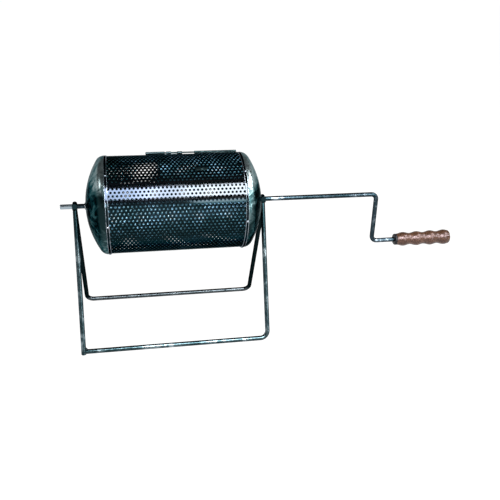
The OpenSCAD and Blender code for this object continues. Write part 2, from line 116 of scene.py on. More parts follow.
CRANK_DROP = 112 * MM
ROD_BARE = 54 * MM

# Grip, ferrule and what keeps them on; the cap is rounded by places from its end and drops in radius
GRIP_X = ARM_X + ROD_BARE
GRIP_LEN = 133 * MM
GRIP_D_IN = 25.4 * MM
GRIP_D_OUT = 28.6 * MM
GRIP_STEPS = 72
SWELL_RISE = 3 * MM
SWELLS = 4
GRIP_ROUND = 4 * MM
FERRULE_LEN = 5 * MM
SWELL_PITCH = (GRIP_LEN - FERRULE_LEN + GRIP_ROUND) / SWELLS
FERRULE_T = 1.2 * MM
FERRULE_EDGE = 2 * MM
FERRULE_LIP_LEN = 0.6 * MM
FERRULE_LIP_DROP = 0.5 * MM
RECESS_R = 9.5 * MM
RECESS_DEPTH = 7 * MM
RECESS_EDGE = 0.8 * MM
WASHER_X = GRIP_X + GRIP_LEN - RECESS_DEPTH + SIDE_GAP
WASHER_R = 8.5 * MM
WASHER_T = 1.5 * MM
END_CAP_X = WASHER_X + WASHER_T
END_CAP_R = 7 * MM
END_CAP_LEN = 4 * MM
END_CAP_BORE = 3 * MM
END_CAP_ROUND = ((1.5 * MM, 0), (0.6 * MM, 0.8 * MM), (0.1 * MM, 2.6 * MM))
ROD_END = END_CAP_X + END_CAP_BORE

# Stand
FRONT_REACH = 100 * MM
REAR_REACH = 128 * MM
LEG_BEND = 16 * MM
APEX_Z = -14 * MM
FOOT_FLAT = 0.3 * MM
WEB_REACH = BAR_R + 9 * MM
WEB_T = 4 * MM

# Door, its mouth in the drum and its hinge, with angles in degrees from the top towards the front
HINGE_ANGLE = -18
LUG_LEN = 6.5 * MM
LUG_MARGIN = 1.1 * MM
LUG_X1 = SHEET_HALF - SKIRT - LUG_MARGIN
LUG_X0 = LUG_X1 - LUG_LEN
DOOR_LEN = 81 * MM
DOOR_LAP = 6 * MM
DOOR_X1 = LUG_X0 - SIDE_GAP
DOOR_X0 = DOOR_X1 - DOOR_LEN
DOOR_OUT_R = DRUM_R + DOOR_GAP + SHEET_T
DOOR_REAR = -16.295
DOOR_FRONT = 26
MOUTH_X0 = DOOR_X0 + DOOR_LAP
MOUTH_X1 = DOOR_X1 - DOOR_LAP
MOUTH_REAR = -13.087
MOUTH_FRONT = 22.562
ROD_R = 1.5 * MM
ROD_PAST = 0.6 * MM
KNUCKLE_BORE = ROD_R + SEAT
KNUCKLE_R = KNUCKLE_BORE + 1.1 * MM
ROD_RADIAL = DRUM_R + DOOR_GAP + KNUCKLE_R
LEAF_T = 1 * MM
LEAF_OUT_R = DRUM_R + SEAT + LEAF_T
DOOR_LEAF_OUT_R = DOOR_OUT_R + SEAT + LEAF_T
LEAF_START = 0.4
LEAF_SPAN = 9.740
BRACKET_GAP = 25 * MM
BRACKET_LEN = 75 * MM
LONG_KNUCKLE = 39 * MM
SHORT_KNUCKLE = 10 * MM
KNUCKLE_GAP = 3 * MM
BRACKET_X1 = DOOR_X0 - BRACKET_GAP
BRACKET_X0 = BRACKET_X1 - BRACKET_LEN
SHORT_X0 = BRACKET_X0 + LONG_KNUCKLE + KNUCKLE_GAP
BRACKET_KNUCKLES = ((BRACKET_X0, BRACKET_X0 + LONG_KNUCKLE), (SHORT_X0, SHORT_X0 + SHORT_KNUCKLE),
                    (BRACKET_X1 - SHORT_KNUCKLE, BRACKET_X1))
HINGE_ROD_X0 = BRACKET_X0 - ROD_PAST
HINGE_ROD_X1 = LUG_X1 + ROD_PAST
RIVET_BACK = 7.162
RIVET_INSET = 9 * MM
LEAF_RIVET_HEAD_R = 2.5 * MM
LEAF_RIVET_HEAD_H = 1.2 * MM
LEAF_RIVET_SHANK_R = 1.5 * MM
BRACKET_RIVET_X = (BRACKET_X0 + RIVET_INSET, (BRACKET_X0 + BRACKET_X1) / 2, BRACKET_X1 - RIVET_INSET)
DOOR_RIVET_X = (DOOR_X0 + RIVET_INSET, (DOOR_X0 + DOOR_X1) / 2, DOOR_X1 - RIVET_INSET)

# Turn button and its pivot
BUTTON_X = DOOR_X0 + 6 * MM
BUTTON_ANGLE = 30.297
BUTTON_LOW = DOOR_OUT_R + DOOR_GAP
BUTTON_T = 1.2 * MM
BUTTON_LEN = 26 * MM
BUTTON_W = 8 * MM
BUTTON_SIDES = 32
PIVOT_R = 1.5 * MM
PIVOT_HEAD_R = 3 * MM
PIVOT_HEAD_H = 1.4 * MM


# Working tools

def drum_point(x, angle, r):
    """A point by its place along the shaft, its angle from the top towards the front, and its radius."""
    return Vector((x, -r * sin(radians(angle)), r * cos(radians(angle))))


def on_drum(x, angle, r):
    """A place on the drum whose Z points away from the shaft."""
    return Matrix.Translation(drum_point(x, angle, r)) @ Matrix.Rotation(radians(angle), 4, 'X')


STAND_UP = Matrix.Rotation(-pi / 2, 4, 'Y')
LIE_ALONG_SHAFT = Matrix.Rotation(pi / 2, 4, 'Y')


def ring_edges(verts):
    inside = set(verts)
    return [e for e in {e for v in verts for e in v.link_edges} if all(v in inside for v in e.verts)]


def verts_of(geom):
    return [g for g in geom if isinstance(g, bmesh.types.BMVert)]


def turned(bm, outline, sides, place=Matrix()):
    """Turns an outline of places along the axis and radii into a closed body round the X axis."""
    verts = [bm.verts.new((x, 0, r)) for x, r in outline]
    edges = [bm.edges.new((a, b)) for a, b in zip(verts, verts[1:] + verts[:1])]
    before = set(bm.verts) - set(verts)
    bmesh.ops.spin(bm, geom=verts + edges, cent=(0, 0, 0), axis=(1, 0, 0),
                   angle=2 * pi, steps=sides, use_merge=True)
    made = [v for v in bm.verts if v not in before]
    bmesh.ops.remove_doubles(bm, verts=made, dist=NEAR)
    made = [v for v in bm.verts if v not in before]
    faces = list({f for v in made for f in v.link_faces})
    bmesh.ops.recalc_face_normals(bm, faces=faces)
    bmesh.ops.transform(bm, matrix=place, verts=made)


def collar(bm, x0, x1, bore, r, sides, place):
    """A ring or pin between two places on its axis, with small chamfers at its rims."""
    turned(bm, [(x0, bore), (x0, r - EDGE), (x0 + EDGE, r), (x1 - EDGE, r), (x1, r - EDGE), (x1, bore)],
           sides, place)


def start_bar(bm, place):
    made = bmesh.ops.create_circle(bm, cap_ends=False, segments=BAR_SIDES, radius=BAR_R, matrix=place)
    return ring_edges(made['verts'])


def run_bar(bm, edges, step):
    made = bmesh.ops.extrude_edge_only(bm, edges=edges)['geom']
    verts = verts_of(made)
    bmesh.ops.translate(bm, vec=step, verts=verts)
    return ring_edges(verts)


def bend_bar(bm, edges, centre, axis, angle):
    verts = list({v for e in edges for v in e.verts})
    made = bmesh.ops.spin(bm, geom=verts + edges, cent=centre, axis=axis, angle=angle, steps=BEND_STEPS)
    return ring_edges(verts_of(made['geom_last']))


def close_ends(bm):
    bmesh.ops.holes_fill(bm, edges=[e for e in bm.edges if e.is_boundary], sides=4 * BAR_SIDES)


def soften_ends(bm, rings, size):
    bmesh.ops.bevel(bm, geom=rings, offset=size, affect='EDGES', segments=3, profile=0.5, material=-1)


def trim(bm, point, normal):
    """Cuts away what lies on the normal's side."""
    bmesh.ops.bisect_plane(bm, geom=bm.verts[:] + bm.edges[:] + bm.faces[:], dist=NEAR,
                           plane_co=point, plane_no=normal, clear_outer=True)


def cut_off(bm, point, normal):
    """Cuts away what lies on the normal's side and closes the cut."""
    trim(bm, point, normal)
    close_ends(bm)


def piece(name, bm, materials, body, nodes, sharp=35):
    """Makes a finished piece: in its place, shaded, riding on its body, standing for its nodes."""
    bmesh.ops.translate(bm, vec=DRUM_MIDDLE, verts=bm.verts)
    mesh = bpy.data.meshes.new(name)
    bm.to_mesh(mesh)
    bm.free()
    mesh.shade_smooth()
    mesh.set_sharp_from_angle(angle=radians(sharp))
    for material in materials:
        mesh.materials.append(material)
    obj = bpy.data.objects.new(name, mesh)
    bpy.context.scene.collection.objects.link(obj)
    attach(obj, body)
    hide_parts(*nodes)
    return obj


# Perforated sheet

def sheet_cells(bm, columns, rows):
    """Flat perforated sheet: one hole with its share of the sheet, repeated in staggered rows."""
    bmesh.ops.create_circle(bm, cap_ends=False, segments=HOLE_SIDES, radius=HOLE_R)
    corner = HOLE_PITCH / sqrt(3)
    rim = bmesh.ops.create_circle(bm, cap_ends=False, segments=HOLE_SIDES, radius=corner)['verts']
    for v in rim:
        on_corner = abs(sin(3 * atan2(v.co.y, v.co.x))) > 0.5
        v.co *= 1 if on_corner else cos(radians(30))
        v.co.y *= ROW_STEP / (HOLE_PITCH * cos(radians(30)))
    bmesh.ops.bridge_loops(bm, edges=bm.edges[:])
    bmesh.ops.recalc_face_normals(bm, faces=bm.faces[:])
    if bm.faces[:][0].normal.z < 0:
        bmesh.ops.reverse_faces(bm, faces=bm.faces[:])
    first = bm.verts[:] + bm.edges[:] + bm.faces[:]
    bmesh.ops.translate(bm, vec=(columns[0] * HOLE_PITCH, 0, 0), verts=verts_of(first))
    for step in range(1, columns[1] - columns[0]):
        made = bmesh.ops.duplicate(bm, geom=first)['geom']
        bmesh.ops.translate(bm, vec=(step * HOLE_PITCH, 0, 0), verts=verts_of(made))
    row = bm.verts[:] + bm.edges[:] + bm.faces[:]
    bmesh.ops.translate(bm, vec=(0, rows[0] * ROW_STEP, 0), verts=bm.verts)
    if rows[0] % 2:
        bmesh.ops.translate(bm, vec=(HOLE_PITCH / 2, 0, 0), verts=bm.verts)
    for step in range(1, rows[1] - rows[0]):
        aside = HOLE_PITCH / 2 * ((rows[0] + step) % 2 - rows[0] % 2)
        made = bmesh.ops.duplicate(bm, geom=row)['geom']
        bmesh.ops.translate(bm, vec=(aside, step * ROW_STEP, 0), verts=verts_of(made))
    bmesh.ops.remove_doubles(bm, verts=bm.verts[:], dist=0.02 * MM)


def cut_mouth(bm, x0, x1, y0, y1):
    """Cuts the door mouth out of the flat sheet."""
    near = HOLE_PITCH
    for point, normal in (((x0, 0, 0), (1, 0, 0)), ((x1, 0, 0), (1, 0, 0)),
                          ((0, y0, 0), (0, 1, 0)), ((0, y1, 0), (0, 1, 0))):
        faces = []
        for f in bm.faces:
            at = f.calc_center_median()
            if x0 - near < at.x < x1 + near and y0 - near < at.y < y1 + near:
                faces.append(f)
        geom = list({v for f in faces for v in f.verts}) + list({e for f in faces for e in f.edges}) + faces
        bmesh.ops.bisect_plane(bm, geom=geom, dist=NEAR, plane_co=point, plane_no=normal)
    inside = []
    for f in bm.faces:
        at = f.calc_center_median()
        if x0 < at.x < x1 and y0 < at.y < y1:
            inside.append(f)
    bmesh.ops.delete(bm, geom=inside, context='FACES')


def nearest_hole(x, y):
    row = round(y / ROW_STEP)
    aside = HOLE_PITCH / 2 * (row % 2)
    return round((x - aside) / HOLE_PITCH) * HOLE_PITCH + aside, row * ROW_STEP


def open_r(x, angle):
    """Inner radius of a hole: most are drawn in, as painted shade that darkens the view through the drum;
    some patches are clear.
    """
    for x0, x1, a0, a1 in CLEAR_PATCHES:
        if x0 < x < x1 and a0 < angle < a1:
            return CLEAR_HOLE_R
    return SHADE_NARROWED_HOLE_R


def narrow_holes(bm, r_in):
    """Draws in the inner rims of the whole holes: dark cones that stand in for the shade seen through the
    drum (painted shade).
    """
    rims = {}
    for v in bm.verts:
        if hypot(v.co.y, v.co.z) > r_in + SHEET_T / 2:
            continue
        along = DRUM_R * atan2(-v.co.y, v.co.z)
        hole = nearest_hole(v.co.x, along)
        if abs(hypot(v.co.x - hole[0], along - hole[1]) - HOLE_R) < 0.1 * MM:
            rims.setdefault(hole, []).append((v, along))
    for (x, y), rim in rims.items():
        if len(rim) == HOLE_SIDES:
            share = open_r(x, y / DRUM_R * 180 / pi) / HOLE_R
            for v, along in rim:
                angle = (y + (along - y) * share) / DRUM_R
                v.co = (x + (v.co.x - x) * share, -r_in * sin(angle), r_in * cos(angle))


def roll_sheet(bm, r, t):
    """Rolls the flat sheet round the shaft and gives it its thickness, its inside and its hole walls."""
    for v in bm.verts:
        angle = v.co.y / DRUM_R
        v.co = Vector((v.co.x, -r * sin(angle), r * cos(angle)))
    bm.normal_update()
    some = bm.faces[:][0]
    at = some.calc_center_median()
    if some.normal.dot(Vector((0, at.y, at.z))) < 0:
        bmesh.ops.reverse_faces(bm, faces=bm.faces[:])
    bmesh.ops.solidify(bm, geom=bm.faces[:], thickness=t)
    narrow_holes(bm, r - t)
    bm.normal_update()
    for f in bm.faces:
        at = f.calc_center_median()
        outward = Vector((0, at.y, at.z)).normalized()
        facing = f.normal.dot(outward)
        f.material_index = 0 if facing > 0.9 else 1 if facing < -0.9 else 2


def drum_sheet(name, rows, with_mouth):
    bm = bmesh.new()
    sheet_cells(bm, DRUM_COLUMNS, rows)
    trim(bm, (SHEET_HALF, 0, 0), (1, 0, 0))
    trim(bm, (-SHEET_HALF, 0, 0), (-1, 0, 0))
    if with_mouth:
        cut_mouth(bm, MOUTH_X0, MOUTH_X1, radians(MOUTH_REAR) * DRUM_R, radians(MOUTH_FRONT) * DRUM_R)
    roll_sheet(bm, DRUM_R, SHEET_T)
    return piece(name, bm, [drum_finish, inside_finish, hole_finish], "drum", ["drum_shell"])


def door_sheet():
    bm = bmesh.new()
    sheet_cells(bm, DOOR_COLUMNS, DOOR_ROWS)
    for point, normal in (((DOOR_X0, 0, 0), (-1, 0, 0)), ((DOOR_X1, 0, 0), (1, 0, 0)),
                          ((0, radians(DOOR_REAR) * DRUM_R, 0), (0, -1, 0)),
                          ((0, radians(DOOR_FRONT) * DRUM_R, 0), (0, 1, 0))):
        trim(bm, point, normal)
    roll_sheet(bm, DOOR_OUT_R, SHEET_T)
    return piece("door_sheet", bm, [drum_finish, inside_finish, hole_finish], "door", ["door_panel"])


# Domed ends

def arc(cx, cr, r, a0, a1, steps):
    """Points on an arc, angles measured from the shaft's direction outwards."""
    angles = [radians(a0 + (a1 - a0) * i / steps) for i in range(steps + 1)]
    return [(cx + r * cos(a), cr + r * sin(a)) for a in angles]


def domed_end(name, side, node):
    shoulder_mid = CAP_OUT_R - SHOULDER_R
    crown_r = (CAP_DEPTH ** 2 + shoulder_mid ** 2 - SHOULDER_R ** 2) / (2 * (CAP_DEPTH - SHOULDER_R))
    crown_angle = asin(shoulder_mid / (crown_r - SHOULDER_R)) * 180 / pi
    low = CAP_DEPTH - crown_r
    hole_out = asin(BORE_R / crown_r) * 180 / pi
    hole_in = asin(BORE_R / (crown_r - CAP_T)) * 180 / pi
    outline = [(-SKIRT, CAP_IN_R)]
    outline += arc(HEM_R - SKIRT, HEM_TOP_R - HEM_R, HEM_R, 180, 24, 8)
    outline += [(-1.6 * HEM_R, CAP_OUT_R), (-0.6 * HEM_R, HEM_TOP_R), (0.6 * HEM_R, HEM_TOP_R)]
    outline += arc(0, shoulder_mid, SHOULDER_R, 86, crown_angle, 16)
    outline += arc(low, 0, crown_r, crown_angle, hole_out, 16)[1:]
    outline += arc(low, 0, crown_r - CAP_T, hole_in, crown_angle, 12)
    outline += arc(0, shoulder_mid, SHOULDER_R - CAP_T, crown_angle, 90, 10)[1:]
    bm = bmesh.new()
    turned(bm, [(side * (SHEET_HALF + h), r) for h, r in outline], DOME_SIDES)
    # Painted highlight as well as wear: the hem and the line where the shoulder starts take the light edge
    # finish; the rest of the skirt takes the sheet's finish.
    for f in bm.faces:
        at = f.calc_center_median()
        past = abs(at.x) - SHEET_HALF
        if past < 2.2 * HEM_R - SKIRT or abs(past) < HEM_R:
            f.material_index = 1
        elif past < 0:
            f.material_index = 2
    return piece(name, bm, [cap_finish, skirt_finish, drum_finish], "drum", [node])


def domed_head(foot, head_r, head_h):
    """Outline of a domed head, from its rim to its top."""
    angles = [pi / 2 * i / HEAD_STEPS for i in range(HEAD_STEPS)]
    return [(foot + head_h * sin(a), head_r * cos(a)) for a in angles] + [(foot + head_h, 0)]


def rivet(bm, place, head_r, head_h, shank_r, depth):
    shank = [(-depth, 0), (-depth, shank_r), (0, shank_r)]
    turned(bm, shank + domed_head(0, head_r, head_h), RIVET_SIDES, place @ STAND_UP)


def end_rivets(name, side, node):
    bm = bmesh.new()
    for i in range(END_RIVETS):
        place = on_drum(side * END_RIVET_X, END_RIVET_START + 360 / END_RIVETS * i, CAP_OUT_R)
        rivet(bm, place, END_RIVET_HEAD_R, END_RIVET_HEAD_H, END_RIVET_SHANK_R, CAP_T + SHEET_T)
    return piece(name, bm, [skirt_finish], "drum", [node])


def shaft_boss(name, side, node):
    """A low rounded collar on the shaft, against the dome."""
    x0 = side * DOME_END
    far = side * BOSS_LEN
    outside = [(x0 + share * far, BOSS_R - drop) for share, drop in BOSS_ROUND]
    bm = bmesh.new()
    turned(bm, [(x0, BORE_R)] + outside + [(x0 + far, BORE_R)], COLLAR_SIDES)
    return piece(name, bm, [weld_finish], "drum", [node])


# Shaft, crank arm and handle rod

def crank_bar():
    bm = bmesh.new()
    first = start_bar(bm, Matrix.Translation((TIP_X, 0, 0)) @ LIE_ALONG_SHAFT)
    edges = run_bar(bm, first, (ARM_X - CRANK_BEND - TIP_X, 0, 0))
    edges = bend_bar(bm, edges, (ARM_X - CRANK_BEND, 0, -CRANK_BEND), (0, 1, 0), pi / 2)
    edges = run_bar(bm, edges, (0, 0, 2 * CRANK_BEND - CRANK_DROP))
    edges = bend_bar(bm, edges, (ARM_X + CRANK_BEND, 0, CRANK_BEND - CRANK_DROP), (0, 1, 0), -pi / 2)
    run_bar(bm, edges, (ROD_END - ARM_X - CRANK_BEND, 0, 0))
    close_ends(bm)
    soften_ends(bm, first, TIP_ROUND)
    bmesh.ops.recalc_face_normals(bm, faces=bm.faces[:])
    return piece("crank_bar", bm, [crank_finish], "drum", ["crank_shaft"])


# Grip

def grip_r(along):
    taper = (GRIP_D_IN + (GRIP_D_OUT - GRIP_D_IN) * along / GRIP_LEN) / 2
    return taper + SWELL_RISE * (0.5 - 0.5 * cos(2 * pi * (along - FERRULE_LEN) / SWELL_PITCH))


def at_grip(outline):
    return [(GRIP_X + x, r) for x, r in outline]


DOWN_TO_ROD = Matrix.Translation((0, 0, -CRANK_DROP))


def handle_grip():
    neck = grip_r(FERRULE_LEN) - FERRULE_T
    wood_to = GRIP_LEN - GRIP_ROUND
    body = []
    for i in range(GRIP_STEPS + 1):
        along = FERRULE_LEN + (wood_to - FERRULE_LEN) * i / GRIP_STEPS
        body.append((along, grip_r(along)))
    end_r = grip_r(wood_to) - GRIP_ROUND
    outline = [(FERRULE_T, BORE_R), (FERRULE_T, neck), (FERRULE_LEN, neck)] + body
    outline += arc(wood_to, end_r, GRIP_ROUND, 90, 0, 8)[1:]
    outline += [(GRIP_LEN, RECESS_R + RECESS_EDGE), (GRIP_LEN - RECESS_EDGE, RECESS_R),
                (GRIP_LEN - RECESS_DEPTH, RECESS_R), (GRIP_LEN - RECESS_DEPTH, BORE_R)]
    bm = bmesh.new()
    turned(bm, at_grip(outline), GRIP_SIDES, DOWN_TO_ROD)
    return piece("handle_grip", bm, [wood_finish], "grip", ["wood_grip"])


def ferrule_ring():
    outer = grip_r(FERRULE_LEN)
    neck = outer - FERRULE_T + SEAT
    outline = [(0, BORE_R)]
    outline += arc(FERRULE_EDGE, outer - FERRULE_EDGE, FERRULE_EDGE, 180, 90, 8)
    outline += [(FERRULE_LEN - FERRULE_LIP_LEN, outer), (FERRULE_LEN - SEAT, outer - FERRULE_LIP_DROP),
                (FERRULE_LEN - SEAT, neck), (FERRULE_T - SEAT, neck), (FERRULE_T - SEAT, BORE_R)]
    bm = bmesh.new()
    turned(bm, at_grip(outline), GRIP_SIDES, DOWN_TO_ROD)
    return piece("ferrule_ring", bm, [ferrule_finish], "grip", ["grip_ferrule"])


def rod_washer():
    bm = bmesh.new()
    collar(bm, WASHER_X, WASHER_X + WASHER_T, BORE_R, WASHER_R, COLLAR_SIDES, DOWN_TO_ROD)
    return piece("rod_washer", bm, [hinge_finish], "drum", ["end_washer"])


def rod_cap():
    """The pressed cap that keeps the grip on the rod."""
    x1 = END_CAP_X + END_CAP_LEN
    bore_end = ROD_END + SEAT
    outline = [(END_CAP_X, BORE_R), (END_CAP_X, END_CAP_R)]
    outline += [(x1 - back, END_CAP_R - drop) for back, drop in END_CAP_ROUND]
    outline += [(x1, 0), (bore_end, 0), (bore_end, BORE_R)]
    bm = bmesh.new()
    turned(bm, outline, COLLAR_SIDES, DOWN_TO_ROD)
    return piece("rod_cap", bm, [hinge_finish], "drum", ["end_cap"])


# Stand

def stand_leg(name, reach, side, square_corner, bar, node):
    """One leg bar: down on the left, along the ground, up on the right."""
    drop = APEX_Z - GROUND_Z - (BAR_R - FOOT_FLAT)
    slant = sqrt(reach ** 2 + drop ** 2)
    top = -APEX_Z
    bm = bmesh.new()
    if square_corner:
        edges = start_bar(bm, Matrix.Translation((LEFT_SADDLE_X, 0, top)))
        run_bar(bm, edges, (0, 0, -slant - 2 * BAR_R - top))
        edges = start_bar(bm, Matrix.Translation((LEFT_SADDLE_X, 0, -slant)) @ LIE_ALONG_SHAFT)
        edges = run_bar(bm, edges, (RIGHT_SADDLE_X - LEG_BEND - LEFT_SADDLE_X, 0, 0))
    else:
        edges = start_bar(bm, Matrix.Translation((LEFT_SADDLE_X, 0, top)))
        edges = run_bar(bm, edges, (0, 0, LEG_BEND - slant - top))
        edges = bend_bar(bm, edges, (LEFT_SADDLE_X + LEG_BEND, 0, LEG_BEND - slant), (0, 1, 0), -pi / 2)
        edges = run_bar(bm, edges, (RIGHT_SADDLE_X - LEFT_SADDLE_X - 2 * LEG_BEND, 0, 0))
    edges = bend_bar(bm, edges, (RIGHT_SADDLE_X - LEG_BEND, 0, LEG_BEND - slant), (0, 1, 0), -pi / 2)
    run_bar(bm, edges, (0, 0, slant - LEG_BEND + top))
    close_ends(bm)
    bmesh.ops.recalc_face_normals(bm, faces=bm.faces[:])
    if square_corner:
        corner_weld(bm, -slant)
    lean = Matrix.Translation((0, 0, APEX_Z)) @ Matrix.Rotation(side * atan(reach / drop), 4, 'X')
    bmesh.ops.transform(bm, matrix=lean, verts=bm.verts)
    cut_off(bm, (0, 0, 0), (0, -side, 0))
    cut_off(bm, (0, 0, -SADDLE_OUT_R), (0, 0, 1))
    cut_off(bm, (0, 0, GROUND_Z), (0, 0, -1))
    return piece(name, bm, [bar, weld_finish], "stand", [node])


def corner_weld(bm, bar_z):
    """The weld web in the square corner between the left leg and the front ground bar."""
    corners = [bm.verts.new((LEFT_SADDLE_X + x, WEB_T / 2, bar_z + z))
               for x, z in ((0, 0), (WEB_REACH, 0), (0.55 * WEB_REACH, 0.42 * WEB_REACH),
                            (0.42 * WEB_REACH, 0.55 * WEB_REACH), (0, WEB_REACH))]
    web = bm.faces.new(corners)
    made = bmesh.ops.extrude_face_region(bm, geom=[web])['geom']
    moved = verts_of(made)
    bmesh.ops.translate(bm, vec=(0, -WEB_T, 0), verts=moved)
    faces = list({f for v in corners + moved for f in v.link_faces})
    bmesh.ops.recalc_face_normals(bm, faces=faces)
    for f in faces:
        f.material_index = 1


def saddle(name, x, node):
    """A strip with round ends, bent to a U under the shaft."""
    half_turn = pi * SADDLE_OUT_R / 2
    reach = half_turn + SADDLE_RISE
    bm = bmesh.new()
    made = bmesh.ops.create_grid(bm, x_segments=12, y_segments=64, size=1)['verts']
    for v in made:
        along = v.co.y * reach
        past = max(0.0, abs(along) - (reach - SADDLE_W / 2))
        half = sqrt(max(0.0, (SADDLE_W / 2) ** 2 - past ** 2))
        across = v.co.x * max(half, 0.15 * MM)
        if abs(along) <= half_turn:
            turn = along / SADDLE_OUT_R
            v.co = Vector((x + across, -SADDLE_OUT_R * sin(turn), -SADDLE_OUT_R * cos(turn)))
        else:
            side = 1 if along > 0 else -1
            v.co = Vector((x + across, -side * SADDLE_OUT_R, abs(along) - half_turn))
    bm.normal_update()
    lowest = min(bm.faces, key=lambda f: f.calc_center_median().z)
    if lowest.normal.z > 0:
        bmesh.ops.reverse_faces(bm, faces=bm.faces[:])
    bmesh.ops.solidify(bm, geom=bm.faces[:], thickness=SADDLE_T)
    return piece(name, bm, [bar_finish], "stand", [node])


# Hinge and door fittings

HINGE_LINE = Matrix.Translation(drum_point(0, HINGE_ANGLE, ROD_RADIAL))


def curved_leaf(bm, x0, x1, a0, a1, r_out, t):
    made = bmesh.ops.create_grid(bm, x_segments=10, y_segments=12, size=0.5)['verts']
    for v in made:
        v.co = drum_point(x0 + (x1 - x0) * (v.co.x + 0.5), a0 + (a1 - a0) * (v.co.y + 0.5), r_out)
    bm.normal_update()
    faces = list({f for v in made for f in v.link_faces})
    at = faces[0].calc_center_median()
    if faces[0].normal.dot(Vector((0, at.y, at.z))) < 0:
        bmesh.ops.reverse_faces(bm, faces=faces)
    bmesh.ops.solidify(bm, geom=faces, thickness=t)


def rolled_knuckle(bm, x0, x1):
    collar(bm, x0, x1, KNUCKLE_BORE, KNUCKLE_R, KNUCKLE_SIDES, HINGE_LINE)


def bracket():
    bm = bmesh.new()
    curved_leaf(bm, BRACKET_X0, BRACKET_X1, HINGE_ANGLE - LEAF_SPAN, HINGE_ANGLE - LEAF_START,
                LEAF_OUT_R, LEAF_T)
    for x0, x1 in BRACKET_KNUCKLES:
        rolled_knuckle(bm, x0, x1)
    return piece("bracket", bm, [bracket_finish], "drum", ["hinge_bracket"])


def lug():
    bm = bmesh.new()
    curved_leaf(bm, LUG_X0, LUG_X1, HINGE_ANGLE - LEAF_SPAN, HINGE_ANGLE - LEAF_START,
                LEAF_OUT_R, LEAF_T)
    rolled_knuckle(bm, LUG_X0, LUG_X1)
    return piece("lug", bm, [hinge_finish], "drum", ["hinge_lug"])


def pivot_rod():
    bm = bmesh.new()
    collar(bm, HINGE_ROD_X0, HINGE_ROD_X1, 0, ROD_R, PIN_SIDES, HINGE_LINE)
    return piece("pivot_rod", bm, [hinge_finish], "drum", ["hinge_rod"])


def leaf_rivets(name, body, node, places, angle, seat_r):
    bm = bmesh.new()
    for x in places:
        rivet(bm, on_drum(x, angle, seat_r), LEAF_RIVET_HEAD_R, LEAF_RIVET_HEAD_H, LEAF_RIVET_SHANK_R,
              LEAF_T + SHEET_T)
    return piece(name, bm, [hinge_finish], body, [node])


def door_leaf():
    bm = bmesh.new()
    curved_leaf(bm, DOOR_X0, DOOR_X1, HINGE_ANGLE + LEAF_START, HINGE_ANGLE + LEAF_SPAN,
                DOOR_LEAF_OUT_R, LEAF_T)
    rolled_knuckle(bm, DOOR_X0, DOOR_X1)
    return piece("door_leaf", bm, [hinge_finish], "door", ["door_knuckle"])


def turn_button():
    bm = bmesh.new()
    half_side = Matrix.Rotation(pi / BUTTON_SIDES, 4, 'Z')
    made = bmesh.ops.create_circle(bm, cap_ends=True, segments=BUTTON_SIDES, radius=BUTTON_W / 2,
                                   matrix=half_side)['verts']
    spread = (BUTTON_LEN - BUTTON_W) / 2
    for v in made:
        v.co.x += spread if v.co.x > 0 else -spread
    top = bmesh.ops.extrude_face_region(bm, geom=bm.faces[:])['geom']
    bmesh.ops.translate(bm, vec=(0, 0, BUTTON_T), verts=verts_of(top))
    bmesh.ops.recalc_face_normals(bm, faces=bm.faces[:])
    rims = [e for e in bm.edges if abs(e.verts[0].co.z - e.verts[1].co.z) < NEAR]
    soften_ends(bm, rims, EDGE)
    bmesh.ops.transform(bm, matrix=on_drum(BUTTON_X, BUTTON_ANGLE, BUTTON_LOW), verts=bm.verts)
    return piece("turn_button", bm, [hinge_finish], "latch", ["latch_button"])


def button_pivot():
    """Foot in the sheet, shoulder under the button, and a domed head on it."""
    head_from = BUTTON_LOW + BUTTON_T + SEAT
    foot = [(DRUM_R - SHEET_T, 0), (DRUM_R - SHEET_T, PIVOT_R), (DRUM_R + SEAT, PIVOT_R)]
    shoulder = [(DRUM_R + SEAT, PIVOT_HEAD_R), (BUTTON_LOW - SEAT, PIVOT_HEAD_R),
                (BUTTON_LOW - SEAT, PIVOT_R)]
    head = [(head_from, PIVOT_R)] + domed_head(head_from, PIVOT_HEAD_R, PIVOT_HEAD_H)
    bm = bmesh.new()
    turned(bm, foot + shoulder + head, PIN_SIDES, on_drum(BUTTON_X, BUTTON_ANGLE, 0) @ STAND_UP)
    return piece("button_pivot", bm, [hinge_finish], "drum", ["latch_post"])


# Finishes

def finish(name):
    material = bpy.data.materials.new(name)
    material.use_nodes = True
    tree = material.node_tree
    tree.nodes.clear()
    out = tree.nodes.new('ShaderNodeOutputMaterial')
    shader = tree.nodes.new('ShaderNodeBsdfPrincipled')
    tree.links.new(shader.outputs['BSDF'], out.inputs['Surface'])
    return material, tree, shader


def place_on_piece(tree, stretch=(1, 1, 1), shift=(0, 0, 0)):
    coords = tree.nodes.new('ShaderNodeTexCoord')
    mapping = tree.nodes.new('ShaderNodeMapping')
    mapping.inputs['Scale'].default_value = stretch
    mapping.inputs['Location'].default_value = shift
    tree.links.new(coords.outputs['Object'], mapping.inputs['Vector'])
    return mapping.outputs['Vector']


def grain(tree, scale, stretch=(1, 1, 1), shift=(0, 0, 0), detail=5, rough=0.55, swirl=0.0):
    noise = tree.nodes.new('ShaderNodeTexNoise')
    noise.inputs['Scale'].default_value = scale
    noise.inputs['Detail'].default_value = detail
    noise.inputs['Roughness'].default_value = rough
    noise.inputs['Distortion'].default_value = swirl
    tree.links.new(place_on_piece(tree, stretch, shift), noise.inputs['Vector'])
    return noise.outputs['Fac']


def height(tree, axis, low, high):
    """0 at the low place on an axis of the piece, 1 at the high one."""
    split = tree.nodes.new('ShaderNodeSeparateXYZ')
    tree.links.new(place_on_piece(tree), split.inputs['Vector'])
    return span(tree, split.outputs[axis], low, high, 0, 1)


def span(tree, value, low, high, to_low, to_high):
    node = tree.nodes.new('ShaderNodeMapRange')
    for socket, number in (('From Min', low), ('From Max', high), ('To Min', to_low), ('To Max', to_high)):
        node.inputs[socket].default_value = number
    tree.links.new(value, node.inputs['Value'])
    return node.outputs['Result']


